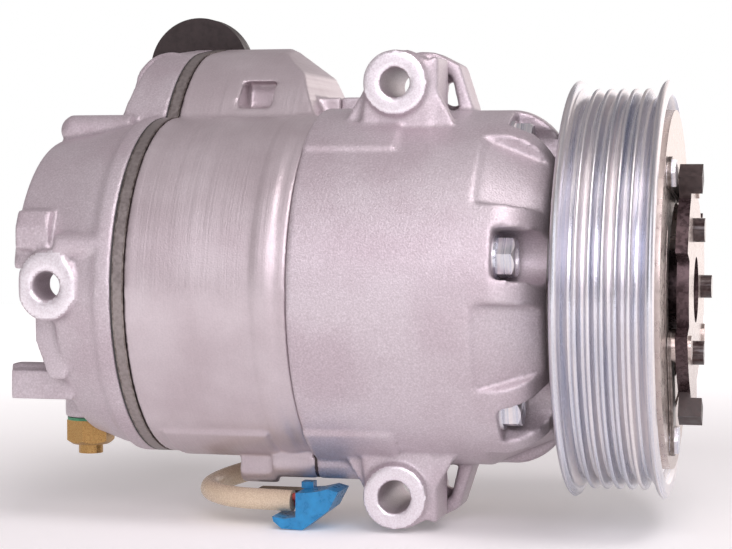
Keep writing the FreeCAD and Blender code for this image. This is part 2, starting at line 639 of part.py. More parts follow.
def piston(y, z):
    """Single-headed piston; its bridge reaches round the swash plate's rim and holds two shoes."""
    deg = math.degrees(math.atan2(z, -y))
    head = rod(REAR_SEAM_X + 0.5, -108.0, BORE_R - RUNNING_FIT, -BORE_PITCH_R)
    ring_groove = ring(REAR_SEAM_X + 3.5, REAR_SEAM_X + 5.5, BORE_R + 1, BORE_R - 0.5, -BORE_PITCH_R)
    inner = rod(-120.0, -100.0, BORE_R - 3.0, -BORE_PITCH_R)
    envelope = rod(-110.0, SWASH_X + BRIDGE_HALF, BORE_R - RUNNING_FIT, -BORE_PITCH_R)
    stem = block(-110.0, SWASH_X - SLOT_HALF, -42.4, -33.0, -7.0, 7.0)
    bridge = block(SWASH_X - BRIDGE_HALF, SWASH_X + BRIDGE_HALF, -42.4, -21.0, -7.0, 7.0)
    limbs = stem.fuse(bridge).common(envelope)
    shape = head.cut(inner).cut(ring_groove).fuse(limbs)
    shape = turn(shape, deg)
    slot = rod(SWASH_X - SLOT_HALF, SWASH_X + SLOT_HALF, SWASH_R + 1.0)
    inward = -math.copysign(1.0, z) * abs(z) * (1 - math.cos(math.radians(MAX_TILT_DEG)))
    socket_r = SHOE_R + 2 * RUNNING_FIT
    sockets = [Part.makeSphere(socket_r, Vector(SWASH_X, y, z))]
    sockets.append(Part.makeSphere(socket_r, Vector(SWASH_X, y, z + inward)))
    z0 = min(z, z + inward)
    sockets.append(rod_z(z0, z0 + abs(inward), socket_r, SWASH_X, y))
    return cut(shape, [slot] + sockets)


def helix_spring(x0, x1, coil_r, wire_r, turns):
    """One round wire swept along a helix about the shaft axis."""
    pitch = (x1 - x0 - 2 * wire_r) / turns
    path = Part.makeHelix(pitch, pitch * turns, coil_r)
    section = Part.Wire(Part.makeCircle(wire_r, Vector(coil_r, 0, 0), Vector(0, 1, 0)))
    shape = Part.Wire(path).makePipeShell([section], True, True)
    shape.rotate(ORIGIN, AXIS_Y, 90)
    shape.translate(Vector(x0 + wire_r, 0, 0))
    return shape


def radial_bearing(x0, x1, inner, outer, rollers):
    """A drawn cup with needle rollers; the rollers clear the shaft by the running fit."""
    mid = (inner + RUNNING_FIT + outer - 1.0) / 2
    roller_r = (outer - 1.0 - inner - RUNNING_FIT) / 2
    cup = ring(x0, x1, outer, outer - 1.0)
    needles = around(rod(x0 + 1, x1 - 1, roller_r, -mid), 0, rollers)
    return Part.makeCompound([cup] + needles)


def thrust_bearing(x0, x1, inner, outer, rollers):
    washer = ring(x0, x0 + 0.8, outer, inner)
    roller_r = (x1 - x0 - 0.8 - RUNNING_FIT) / 2
    x = x0 + 0.8 + roller_r
    roller = Part.makeCylinder(roller_r, outer - inner - 2.0, Vector(x, -inner - 1.0, 0), Vector(0, -1, 0))
    return Part.makeCompound([washer] + around(roller, 0, rollers))


def front_thrust_bearing():
    bearing = thrust_bearing(-4.0, 0.0, 12.0, 20.0, 18)
    bearing = bearing.mirror(ORIGIN, AXIS_X)
    bearing.translate(Vector(-32.0, 0, 0))
    return bearing


def shaft_lip_seal():
    return lathe([(-12.0, SHAFT_R + 2.0), (-12.0, 12.0), (-5.0, 12.0), (-5.0, SHAFT_R + 1.0),
                  (-6.0, SHAFT_R + 1.0), (-6.0, 10.6), (-9.0, 10.6), (-8.0, SHAFT_R + RUNNING_FIT),
                  (-9.0, SHAFT_R + RUNNING_FIT), (-11.0, 10.0)])


def split_ring(x0, x1, outer, inner, deg):
    shape = ring(x0, x1, outer, inner)
    gap = block(x0 - 1, x1 + 1, -outer - 1, -inner + 1, -2.0, 2.0)
    return shape.cut(turn(gap, deg))


# ---- clutch -------------------------------------------------------------------------------------
def rib_profile():
    """Belt face from the rear flange to the front one: vee grooves with rounded crests."""
    half = GROOVE_PITCH * GROOVES / 2
    points = [(-PULLEY_HALF, PULLEY_R - 2.2), ((-13.2, PULLEY_R - 0.4), (-12.7, PULLEY_R)),
              ((-12.0, PULLEY_R - 0.5), (-11.3, PULLEY_R - 2.4))]
    for k in range(GROOVES):
        x = -half + GROOVE_PITCH * (k + 0.5)
        points.append((x - 0.40, ROOT_R))
        points.append((x + 0.40, ROOT_R))
        if k < GROOVES - 1:
            c = x + GROOVE_PITCH / 2
            points.append((c - 0.62, CREST_R - 0.55))
            points.append(((c, CREST_R), (c + 0.62, CREST_R - 0.55)))
    points += [(11.3, PULLEY_R - 2.4), ((12.0, PULLEY_R - 0.5), (12.7, PULLEY_R)),
               ((13.2, PULLEY_R - 0.4), (PULLEY_HALF, PULLEY_R - 2.2))]
    return points


def pulley():
    inside = [(PULLEY_HALF, 55.8), ((12.6, 54.9), (FRICTION_X + 1.2, 54.2)), (FRICTION_X, 53.4),
              (FRICTION_X, 24.6), (BEARING_X1, 24.6), (BEARING_X1, BEARING_OD_R), (-13.4, BEARING_OD_R),
              (-13.4, 31.5), (3.4, 31.5), (3.4, 49.6), (-PULLEY_HALF, 51.0)]
    shape = lathe(rib_profile() + inside)
    groove = ring(BEARING_X0 - 1.2, BEARING_X0, 27.0, 20.0)
    slot = ring(3.0, FRICTION_X + 1, 39.4, 37.0)
    wedge = prism_x(2.5, FRICTION_X + 2, [(0, 0), (-60, -24), (-60, 24)])
    slots = around(slot.common(wedge), 0, 6)
    return cut(shape, [groove] + slots)


def bearing_ring(outer, inner, race_r):
    shape = ring(BEARING_X0, BEARING_X1, outer, inner)
    races = [Part.makeTorus(21.75, race_r, Vector(x, 0, 0), AXIS_X) for x in (-6.5, 2.5)]
    return cut(shape, races)


def pulley_bearing_balls():
    balls = []
    for x in (-6.5, 2.5):
        balls += around(Part.makeSphere(2.3, Vector(x, -21.75, 0)), 0, 14)
    return Part.makeCompound(balls)


def clutch_coil_housing():
    """Steel cup for the winding on a round plate that seats against the housing nose."""
    shape = lathe([(NOSE_X, 19.6), (NOSE_X, 46.0), (COIL_PLATE_X, 46.0), (COIL_PLATE_X, 48.0),
                   (COIL_FRONT_X, 48.0), (COIL_FRONT_X, 45.2), (-10.6, 45.2), (-10.6, 35.6),
                   (COIL_FRONT_X, 35.6), (COIL_FRONT_X, 32.9), (COIL_PLATE_X, 32.9), (COIL_PLATE_X, 19.6)])
    return shape.cut(rod(NOSE_X - 1, -10, LEAD_R + LEAD_CLEARANCE, *polar(LEAD_EXIT_DEG, LEAD_EXIT_R)))


def clutch_coil_winding():
    return ring(-10.6, 1.6, 45.2, 35.6)


def armature_plate():
    shape = ring(ARMATURE_X0, ARMATURE_X1, ARMATURE_R, 25.0)
    slot = ring(ARMATURE_X0 - 1, ARMATURE_X1 + 1, 34.4, 32.0)
    wedge = prism_x(5, 20, [(0, 0), (-60, -40), (-60, 40)])
    slots = around(slot.common(wedge), 0, ARMS)
    rivets = angles(ARMATURE_RIVET_DEG, ARMS)
    holes = [rod(0, 20, 2.5, *polar(a, ARMATURE_RIVET_PITCH_R)) for a in rivets]
    return cut(shape, slots + holes)


def armature_rivets():
    pins = []
    for a in angles(ARMATURE_RIVET_DEG, ARMS):
        y, z = polar(a, ARMATURE_RIVET_PITCH_R)
        pin = rod(ARMATURE_X0, LEAF_TOP, 2.5, y, z)
        head = hexagon(LEAF_TOP, LEAF_TOP + 1.1, 7.4, y, z)
        pins.append(fuse([pin, rod(ARMATURE_X1, LEAF_X0, 4.0, y, z), head]))
    return Part.makeCompound(pins)


def leaf_springs():
    """Three packs of two leaves from the hub's lobes round to the armature's rivets."""
    leaves = []
    for k in range(ARMS):
        y0, z0 = polar(LOBE_RIVET_DEG, LOBE_RIVET_PITCH_R)
        y1, z1 = polar(ARMATURE_RIVET_DEG, ARMATURE_RIVET_PITCH_R)
        dy, dz = y1 - y0, z1 - z0
        length = math.hypot(dy, dz)
        ny, nz = -dz / length * 4.2, dy / length * 4.2
        for x in (LEAF_X0, LEAF_X0 + LEAF_H + LEAF_GAP):
            yz = [(y0 + ny, z0 + nz), (y0 - ny, z0 - nz), (y1 - ny, z1 - nz), (y1 + ny, z1 + nz)]
            leaf = prism_x(x, x + LEAF_H, yz)
            leaf = fuse([leaf, rod(x, x + LEAF_H, 4.6, y0, z0), rod(x, x + LEAF_H, 4.6, y1, z1)])
            leaf = cut(leaf, [rod(x - 1, x + 2, 2.55, y1, z1), rod(x - 1, x + 2, 2.1, y0, z0)])
            leaves.append(turn(leaf, 120.0 * k))
    return Part.makeCompound(leaves)


def hub_lobe_wedge(x0, x1):
    a = HUB_LOBE_HALF_DEG
    wedge = prism_x(x0, x1, [(0, 0), polar(-a, 60), (-60, 0), polar(a, 60)])
    return wedge.common(rod(x0, x1, HUB_LOBE_R))


def clutch_hub():
    """Three-lobed driven plate with the splined boss that sits on the shaft."""
    parts = [rod(HUB_X0, HUB_X1, 26.5)]
    parts += around(hub_lobe_wedge(HUB_X0, HUB_X1), HUB_LOBE_DEG, ARMS)
    parts.append(rod(2.0, HUB_X0, 11.4))
    shape = fuse(parts)
    cuts = [rod(1, 30, 6.5), rod(15.0, 30, 9.4)]
    cuts += [rod(10, 30, 2.2, *polar(a, HUB_RIVET_PITCH_R)) for a in angles(60, ARMS)]
    cuts += [rod(10, 30, 2.1, *polar(a, LOBE_RIVET_PITCH_R)) for a in angles(LOBE_RIVET_DEG, ARMS)]
    return cut(shape, cuts)


def hub_rivets():
    pins = []
    for a in angles(60, ARMS):
        y, z = polar(a, HUB_RIVET_PITCH_R)
        pins.append(fuse([rod(HUB_X0, 21.0, 2.2, y, z), rod(HUB_X1, HUB_X1 + 3.2, 3.4, y, z)]))
    return Part.makeCompound(pins)


def lobe_rivets():
    pins = []
    for a in angles(LOBE_RIVET_DEG, ARMS):
        y, z = polar(a, LOBE_RIVET_PITCH_R)
        pins.append(fuse([rod(LEAF_X0, HUB_X1, 2.1, y, z), rod(LEAF_TOP, HUB_X0, 4.0, y, z),
                          rod(HUB_X1, HUB_X1 + 0.8, 3.4, y, z)]))
    return Part.makeCompound(pins)


def stop_blocks():
    """Two black stops clipped on the hub's lobes."""
    blocks = []
    for a in STOP_DEGS:
        foot = block(HUB_X0 + 0.2, HUB_X1, -40.6, -33.0, -3.2, 3.2).cut(rod(0, 30, HUB_LOBE_R))
        cap = block(HUB_X1, HUB_X1 + 3.2, -40.6, -35.0, -3.2, 3.2)
        blocks.append(turn(fuse([foot, cap]), a))
    return Part.makeCompound(blocks)


def hub_bolt():
    head = hexagon(15.8, 19.4, 10.0)
    flange = rod(15.0, 15.8, 7.4)
    return fuse([head, flange, rod(3.0, 15.0, THREAD_R)])


def hub_shims():
    return ring(1.4, 2.0, 10.0, SHAFT_R + 0.2)


# ---- lead, connector and transit cap ------------------------------------------------------------
def route_wire(points):
    """Straight runs joined by tangent arcs, each as large as its two runs allow."""
    pts = [Vector(*p) for p in points]
    edges = []
    radii = []
    last = pts[0]
    for a, b, c in zip(pts, pts[1:], pts[2:]):
        u = (b - a).normalize()
        w = (c - b).normalize()
        half = u.getAngle(w) / 2
        reach = 0.45 * min((b - a).Length, (c - b).Length)
        radius = reach / math.tan(half)
        radii.append(round(radius, 1))
        start = b - u * reach
        end = b + w * reach
        inward = (w - u).normalize()
        middle = b + inward * (radius / math.cos(half) - radius)
        edges.append(Part.LineSegment(last, start).toShape())
        edges.append(Part.Arc(start, middle, end).toShape())
        last = end
    edges.append(Part.LineSegment(last, pts[-1]).toShape())
    return Part.Wire(edges), radii


def tube_along(points, radius):
    wire, radii = route_wire(points)
    heading = Vector(*points[1]) - Vector(*points[0])
    section = Part.Wire(Part.makeCircle(radius, Vector(*points[0]), heading))
    shape = wire.makePipeShell([section], True, True)
    ideal = math.pi * radius ** 2 * wire.Length
    print(f"tube length {wire.Length:.1f} radii {radii} volume {shape.Volume:.0f} of {ideal:.0f}")
    return shape


def lead_connector():
    profile = [(-98.6, -65.8), (-98.2, -67.2), (-95.8, -69.2), (-89.5, -69.4), (-81.8, -63.6), (-79.0, -58.2),
               (-82.0, -57.4), (-86.2, -58.4), (-91.6, -58.8), (-91.6, -65.8), (-95.0, -66.4)]
    shell = prism_y(CONNECTOR_Y0, CONNECTOR_Y1, profile)
    lug = block(-92.4, -88.8, -15.0, -11.0, -58.7, -56.8)
    return fuse([shell, lug])


def lead_wires():
    wires = []
    for y, z in ((-19.6, -60.6), (-17.4, -62.8)):
        wires.append(rod(-93.7, -91.6, 1.1, y, z))
    return Part.makeCompound(wires)


def connector_bracket():
    strip = block(-107.0, -91.6, -12.0, -5.0, -60.9, -59.9)
    hook = block(-92.6, -91.6, -15.0, -5.0, -62.4, -59.9)
    return fuse([strip, hook])


def transit_cap():
    """Push-in cover over both line ports."""
    y0 = PORT_FACE_Y
    y1 = y0 + CAP_THICKNESS
    plate = [rod_y(y0, y1, 16.7, -145.5, 67.9)]
    plate.append(rod_y(y0, y1, 8.2, DISCHARGE_X, PORT_Z - 1.5))
    plate.append(block(SUCTION_X, DISCHARGE_X, y0, y1, PORT_Z - 9.7, PORT_Z + 6.7))
    inner = y0 - SEAT_DEPTH + 0.5
    spigots = [rod_y(inner, y0, SUCTION_SEAT_R - 0.1, SUCTION_X, PORT_Z),
               rod_y(inner, y0, DISCHARGE_SEAT_R - 0.1, DISCHARGE_X, PORT_Z)]
    return fuse(plate + spigots)


# ---- every piece --------------------------------------------------------------------------------
def main():
    save("rear_head", rear_head())
    save("rear_head_gasket", rear_head_gasket())
    save("discharge_reed_plate", discharge_reed_plate())
    save("valve_plate", valve_plate())
    save("suction_reed_plate", suction_reed_plate())
    save("cylinder_block", cylinder_block())
    save("front_housing", front_housing())
    save("housing_o_ring", housing_o_ring())
    save("passage_seal", passage_seal())
    save("through_bolts", through_bolts())
    save("bolt_washers", bolt_washers())
    save("locating_dowels", locating_dowels())
    save("relief_valve", relief_valve())
    save("relief_valve_o_ring", relief_valve_o_ring())
    save("control_valve", control_valve())
    save("control_valve_circlip", control_valve_circlip())
    save("drive_shaft", drive_shaft())
    save("rotor_plate", rotor_plate())
    save("swash_sleeve", swash_sleeve())
    save("swash_plate", swash_plate())
    save("piston_shoes", piston_shoes())
    for k, (y, z) in enumerate(bore_places(), start=1):
        save(f"piston_{k}", piston(y, z))
    save("destroke_spring", helix_spring(SWASH_X + 9.5, -40.0, 9.8, 0.9, 5))
    save("rear_radial_bearing", radial_bearing(-114.0, -98.0, SHAFT_R, 11.0, 18))
    save("rear_thrust_bearing", thrust_bearing(-97.8, -94.0, 8.4, 10.9, 12))
    save("front_radial_bearing", radial_bearing(-27.5, -13.5, SHAFT_R, 12.0, 16))
    save("front_thrust_bearing", front_thrust_bearing())
    save("shaft_lip_seal", shaft_lip_seal())
    save("seal_circlip", split_ring(-4.6, -3.4, 12.0, 9.6, 200.0))
    save("clutch_coil_housing", clutch_coil_housing())
    save("clutch_coil_winding", clutch_coil_winding())
    save("coil_circlip", split_ring(COIL_PLATE_X, COIL_PLATE_X + 1.2, 22.4, 19.4, 90.0))
    save("pulley", pulley())
    save("pulley_bearing_outer_ring", bearing_ring(BEARING_OD_R, 23.2, 2.3))
    save("pulley_bearing_inner_ring", bearing_ring(20.3, BEARING_ID_R, 2.3 + RUNNING_FIT))
    save("pulley_bearing_balls", pulley_bearing_balls())
    save("pulley_snap_ring", split_ring(BEARING_X0 - 1.2, BEARING_X0, 27.0, 24.6, 300.0))
    save("pulley_bearing_circlip", split_ring(BEARING_X1, BEARING_X1 + 1.1, 19.6, BEARING_ID_R, 120.0))
    save("armature_plate", armature_plate())
    save("armature_rivets", armature_rivets())
    save("leaf_springs", leaf_springs())
    save("clutch_hub", clutch_hub())
    save("hub_rivets", hub_rivets())
    save("lobe_rivets", lobe_rivets())
    save("stop_blocks", stop_blocks())
    save("hub_bolt", hub_bolt())
    save("hub_shims", hub_shims())
    save("clutch_lead_sleeve", tube_along(LEAD_ROUTE, LEAD_R))
    save("clutch_lead_wires", lead_wires())
    save("lead_connector", lead_connector())
    save("connector_bracket", connector_bracket())
    save("transit_cap", transit_cap())


main()
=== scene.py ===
import json
import math

import bpy
import numpy as np
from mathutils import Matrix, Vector


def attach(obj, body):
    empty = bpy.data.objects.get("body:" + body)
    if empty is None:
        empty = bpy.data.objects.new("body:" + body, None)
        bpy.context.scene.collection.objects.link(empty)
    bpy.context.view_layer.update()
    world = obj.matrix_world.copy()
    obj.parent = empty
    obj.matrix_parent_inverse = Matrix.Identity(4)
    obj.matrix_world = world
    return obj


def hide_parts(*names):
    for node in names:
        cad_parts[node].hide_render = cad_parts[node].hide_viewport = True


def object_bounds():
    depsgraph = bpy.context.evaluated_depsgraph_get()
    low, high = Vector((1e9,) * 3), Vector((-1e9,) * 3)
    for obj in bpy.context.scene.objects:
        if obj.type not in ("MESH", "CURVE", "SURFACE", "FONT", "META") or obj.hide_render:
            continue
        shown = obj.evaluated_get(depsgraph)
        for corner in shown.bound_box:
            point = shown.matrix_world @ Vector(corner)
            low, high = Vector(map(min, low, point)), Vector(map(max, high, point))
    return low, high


# Looks of an automotive air-conditioning compressor, in metres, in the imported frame:
# +X along the shaft towards the clutch, +Y towards the line ports, +Z up.

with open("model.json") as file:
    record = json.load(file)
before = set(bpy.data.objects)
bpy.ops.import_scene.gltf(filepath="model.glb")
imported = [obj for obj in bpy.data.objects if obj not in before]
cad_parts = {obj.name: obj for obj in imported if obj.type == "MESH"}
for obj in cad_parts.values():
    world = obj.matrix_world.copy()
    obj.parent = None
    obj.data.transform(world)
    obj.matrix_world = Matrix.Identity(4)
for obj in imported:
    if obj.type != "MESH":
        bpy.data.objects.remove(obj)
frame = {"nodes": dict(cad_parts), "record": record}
cad_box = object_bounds()
NODES = frame["nodes"]
SLOT_OF = {s["node"]: s["material_slot"] for s in frame["record"]["subparts"]}
MM = 0.001

# Camera, fitted to the photograph's seams, ears and pulley edges.
CAMERA_TARGET = Vector((-0.0765, 0.0, 0.0034))
CAMERA_DISTANCE = 0.6236
CAMERA_AZIMUTH_DEG = 13.1
CAMERA_ELEVATION_DEG = 2.5
SENSOR_WIDTH_MM = 36.0
LENS_MM = 103.3
CLIP_START, CLIP_END = 0.01, 20.0

# Studio. The floor's glow rises from the first share to the second between near and far.
AMBIENT = 0.34
AMBIENT_TINT = (1.0, 0.92, 0.94, 1)
FLOOR_HALF = 1.0
FLOOR_DROP = 0.0002
FLOOR_COLOUR = (0.95, 0.94, 0.94, 1)
FLOOR_ROUGHNESS = 0.9
FLOOR_NEAR = 0.20
FLOOR_FAR = 0.70
FLOOR_GLOW = (0.12, 0.75)
WHITE = (1, 1, 1, 1)

# Each light's name, place, aim, size, power in watts and colour.
LIGHTS = [
    ("front", (0.14, -0.93, 0.42), (-0.08, 0, 0.0), (0.8, 0.5), 4.6, (0.98, 0.93, 1.0)),
    ("key", (0.30, -0.55, 0.95), (-0.08, 0, 0.0), (0.6, 0.5), 5.0, (1.0, 0.95, 0.97)),
    ("side", (0.85, -0.35, 0.25), (-0.03, 0, 0.0), (0.4, 0.6), 1.0, (0.93, 0.96, 1.0)),
    ("back", (0.75, 1.25, 0.12), (-0.03, 0, 0.0), (2.2, 1.2), 10.0, (1.0, 0.93, 0.90)),
]

# Castings.
CASTINGS = ("front_housing", "rear_head", "cylinder_block")
CASTINGS_WITH_EARS = ("front_housing", "rear_head")
CAST_VOXEL, QUICK_VOXEL = 0.75 * MM, 1.2 * MM
CAST_PASSES, QUICK_PASSES = 5, 3
CAST_RELAX = 0.5
CAST_TRIANGLES = 190000
EAR_FACE_R = 0.0100
EAR_FACE_DEPTH = 0.0006
TOWARDS_VIEWER = -0.9

# Noise scales and stretches. A long first factor draws rings about the shaft.
CAST_GRAIN_SCALE = 1900
TURNED_RINGS = (2600, 12, 12)
FACED_RINGS = (2200, 30, 2200)
PLATED_RINGS = (900, 18, 18)


# ---- camera, stage and light ------------------------------------------------------------
def add_to_scene(obj):
    bpy.context.scene.collection.objects.link(obj)


def point_at(obj, direction):
    obj.rotation_mode = "QUATERNION"
    obj.rotation_quaternion = direction.to_track_quat("-Z", "Y")


def make_camera():
    azimuth = math.radians(CAMERA_AZIMUTH_DEG)
    elevation = math.radians(CAMERA_ELEVATION_DEG)
    back = Vector((
        math.sin(azimuth) * math.cos(elevation),
        -math.cos(azimuth) * math.cos(elevation),
        math.sin(elevation),
    ))
    data = bpy.data.cameras.new("camera")
    data.sensor_width = SENSOR_WIDTH_MM
    data.lens = LENS_MM
    data.clip_start = CLIP_START
    data.clip_end = CLIP_END
    camera = bpy.data.objects.new("camera", data)
    camera.location = CAMERA_TARGET + back * CAMERA_DISTANCE
    point_at(camera, -back)
    add_to_scene(camera)
    bpy.context.scene.camera = camera


def area_light(name, place, aim, size, power, colour):
    data = bpy.data.lights.new(name, "AREA")
    data.shape = "RECTANGLE"
    data.size, data.size_y = size
    data.energy = power
    data.color = colour
    light = bpy.data.objects.new(name, data)
    light.location = place
    point_at(light, Vector(aim) - Vector(place))
    add_to_scene(light)


def fade_floor(material, shader):
    """Lets the floor glow towards its edges, so that it meets the white studio with no line."""
    nodes = material.node_tree.nodes
    links = material.node_tree.links
    place = nodes.new("ShaderNodeTexCoord")
    away = nodes.new("ShaderNodeVectorMath")
    away.operation = "LENGTH"
    glow = nodes.new("ShaderNodeMapRange")
    glow.inputs["From Min"].default_value = FLOOR_NEAR
    glow.inputs["From Max"].default_value = FLOOR_FAR
    glow.inputs["To Min"].default_value = FLOOR_GLOW[0]
    glow.inputs["To Max"].default_value = FLOOR_GLOW[1]
    links.new(place.outputs["Object"], away.inputs[0])
    links.new(away.outputs["Value"], glow.inputs["Value"])
    links.new(glow.outputs["Result"], shader.inputs["Emission Strength"])


def make_stage():
    z = cad_box[0].z - FLOOR_DROP
    s = FLOOR_HALF
    mesh = bpy.data.meshes.new("floor")
    mesh.from_pydata([(-s, -s, z), (s, -s, z), (s, s, z), (-s, s, z)], [], [(0, 1, 2, 3)])
    floor = bpy.data.objects.new("floor", mesh)
    add_to_scene(floor)
    material = bpy.data.materials.new("floor")
    material.use_nodes = True
    shader = material.node_tree.nodes["Principled BSDF"]
    shader.inputs["Base Color"].default_value = FLOOR_COLOUR
    shader.inputs["Roughness"].default_value = FLOOR_ROUGHNESS
    shader.inputs["Emission Color"].default_value = WHITE
    fade_floor(material, shader)
    mesh.materials.append(material)


def make_world():
    """White to the camera, and a softer, warmer white for the light that reaches the object."""
    world = bpy.data.worlds.new("studio")
    world.use_nodes = True
    tree = world.node_tree
    ambient = tree.nodes["Background"]
    ambient.inputs["Color"].default_value = AMBIENT_TINT
    ambient.inputs["Strength"].default_value = AMBIENT
    seen = tree.nodes.new("ShaderNodeBackground")
    seen.inputs["Color"].default_value = WHITE
    path = tree.nodes.new("ShaderNodeLightPath")
    choice = tree.nodes.new("ShaderNodeMixShader")
    tree.links.new(path.outputs["Is Camera Ray"], choice.inputs[0])
    tree.links.new(ambient.outputs[0], choice.inputs[1])
    tree.links.new(seen.outputs[0], choice.inputs[2])
    tree.links.new(choice.outputs[0], tree.nodes["World Output"].inputs["Surface"])
    bpy.context.scene.world = world
    bpy.context.scene.view_settings.view_transform = "Standard"


# ---- materials --------------------------------------------------------------------------
class Look:
    """A node material with helpers for the few kinds of node that every finish here shares."""

    def __init__(self, name, metallic):
        self.material = bpy.data.materials.new(name)
        self.material.use_nodes = True
        self.nodes = self.material.node_tree.nodes
        self.links = self.material.node_tree.links
        self.shader = self.nodes["Principled BSDF"]
        self.shader.inputs["Metallic"].default_value = metallic
        self.place = self.nodes.new("ShaderNodeTexCoord").outputs["Object"]

    def scaled(self, factors):
        node = self.nodes.new("ShaderNodeVectorMath")
        node.operation = "MULTIPLY"
        node.inputs[1].default_value = factors
        self.links.new(self.place, node.inputs[0])
        return node.outputs[0]

    def noise(self, scale=1.0, detail=3.0, stretch=None, roughness=0.5):
        node = self.nodes.new("ShaderNodeTexNoise")
        node.inputs["Scale"].default_value = scale
        node.inputs["Detail"].default_value = detail
        node.inputs["Roughness"].default_value = roughness
        place = self.scaled(stretch) if stretch else self.place
        self.links.new(place, node.inputs["Vector"])
        return node.outputs["Fac"]

    def ramp(self, value, stops):
        node = self.nodes.new("ShaderNodeValToRGB")
        while len(node.color_ramp.elements) < len(stops):
            node.color_ramp.elements.new(0.5)
        for element, (position, colour) in zip(node.color_ramp.elements, stops):
            element.position = position
            element.color = (*colour, 1)
        self.links.new(value, node.inputs["Fac"])
        return node.outputs["Color"]

    def blend(self, value, low, high):
        """Drifts from one colour to another over the middle of a noise."""
        return self.ramp(value, [(0.35, low), (0.65, high)])

    def grey(self, value, low, high, start=0.35, end=0.65):
        return self.ramp(value, [(start, (low,) * 3), (end, (high,) * 3)])

    def mix(self, a, b, share, kind="MIX"):
        node = self.nodes.new("ShaderNodeMix")
        node.data_type = "RGBA"
        node.blend_type = kind
        if isinstance(share, float):
            node.inputs["Factor"].default_value = share
        else:
            self.links.new(share, node.inputs["Factor"])
        for name, value in (("A", a), ("B", b)):
            socket = [s for s in node.inputs if s.name == name and s.type == "RGBA"][0]
            self.links.new(value, socket)
        return [s for s in node.outputs if s.type == "RGBA"][0]

    def painted_shade_and_grime(self, low, start, end):
        """Painted shade and grime: low where the surface is hollow and 1 on its flats and edges.
        """
        geometry = self.nodes.new("ShaderNodeNewGeometry")
        return self.grey(geometry.outputs["Pointiness"], low, 1.0, start, end)

    def facing(self, axis, start, end):
        """1 where the surface looks along the piece's own +axis, 0 where it looks elsewhere."""
        split = self.nodes.new("ShaderNodeSeparateXYZ")
        coordinates = self.nodes.new("ShaderNodeTexCoord")
        self.links.new(coordinates.outputs["Normal"], split.inputs[0])
        return self.grey(split.outputs[axis], 0.0, 1.0, start, end)

    def colour(self, value):
        self.links.new(value, self.shader.inputs["Base Color"])

    def rough(self, value):
        self.links.new(value, self.shader.inputs["Roughness"])

    def bump(self, value, depth, below=None):
        node = self.nodes.new("ShaderNodeBump")
        node.inputs["Distance"].default_value = depth
        self.links.new(value, node.inputs["Height"])
        if below is not None:
            self.links.new(below, node.inputs["Normal"])
        self.links.new(node.outputs["Normal"], self.shader.inputs["Normal"])
        return node.outputs["Normal"]


def cast_aluminium():
    look = Look("cast_aluminium", metallic=0.55)
    grain = look.noise(CAST_GRAIN_SCALE, roughness=0.6)
    blotch = look.noise(scale=45, detail=4.0)
    speck = look.noise(scale=3400, detail=1.0)
    base = look.ramp(grain, [
        (0.30, (0.52, 0.455, 0.485)),
        (0.52, (0.60, 0.535, 0.57)),
        (0.74, (0.72, 0.655, 0.69)),
    ])
    stain = look.ramp(blotch, [(0.36, (0.86, 0.81, 0.83)), (0.60, (1.0, 1.0, 1.0))])
    stained = look.mix(base, stain, 0.75, "MULTIPLY")
    # Painted shade: the colour is darkened where the surface is hollow, for the shade that falls
    # there and for the grime the casting gathers there.
    hollow_shade_and_grime = look.painted_shade_and_grime(low=0.45, start=0.42, end=0.49)
    look.colour(look.mix(stained, hollow_shade_and_grime, 0.9, "MULTIPLY"))
    look.rough(look.grey(speck, 0.38, 0.50))
    look.bump(grain, depth=0.00010)
    return look.material


def machined_aluminium():
    look = Look("machined_aluminium", metallic=0.6)
    turned = look.noise(detail=2.0, stretch=TURNED_RINGS)
    blotch = look.noise(scale=55, detail=4.0)
    fine = look.noise(CAST_GRAIN_SCALE)
    base = look.blend(blotch, (0.55, 0.475, 0.50), (0.63, 0.56, 0.585))
    look.colour(look.mix(base, look.grey(fine, 0.90, 1.0), 0.7, "MULTIPLY"))
    look.rough(look.grey(turned, 0.34, 0.48))
    below = look.bump(turned, depth=0.00003)
    look.bump(fine, depth=0.00005, below=below)
    return look.material


def faced_aluminium():
    """The bright faces that a cutter leaves on the mounting ears."""
    look = Look("faced_aluminium", metallic=0.7)
    rings = look.noise(detail=2.0, stretch=FACED_RINGS)
    look.colour(look.blend(rings, (0.78, 0.72, 0.76), (0.90, 0.86, 0.90)))
    look.rough(look.grey(rings, 0.28, 0.38))
    look.bump(rings, depth=0.00002)
    return look.material


def zinc_steel():
    """Zinc-plated steel whose tint drifts between cool and warm in thin rings about the shaft."""
    look = Look("zinc_steel", metallic=0.95)
    streak = look.noise(stretch=PLATED_RINGS, roughness=0.6)
    fine = look.noise(scale=1300)
    tint = look.ramp(streak, [(0.38, (0.62, 0.64, 0.72)), (0.62, (0.86, 0.82, 0.82))])
    look.colour(look.mix(tint, look.grey(fine, 0.90, 1.0), 0.6, "MULTIPLY"))
    look.rough(look.grey(streak, 0.22, 0.40))
    look.bump(fine, depth=0.00003)
    return look.material


def clutch_plate():
    """Black-coated plate whose front face is ground bright."""
    look = Look("clutch_plate", metallic=0.6)
    grain = look.noise(scale=700)
    coat = look.blend(grain, (0.045, 0.026, 0.028), (0.095, 0.062, 0.066))
    ground = look.blend(grain, (0.50, 0.415, 0.38), (0.56, 0.475, 0.44))
    look.colour(look.mix(coat, ground, look.facing("X", start=0.80, end=0.95)))
    look.rough(look.grey(grain, 0.22, 0.34))
    look.bump(grain, depth=0.00001)
    return look.material


def plain(name, low, high, rough, scale, depth=0.00005, metallic=0.0):
    """One grain that varies the colour, the roughness and the height together."""
    look = Look(name, metallic)
    grain = look.noise(scale)
    look.colour(look.blend(grain, low, high))
    look.rough(look.grey(grain, *rough))
    look.bump(grain, depth)
    return look.material


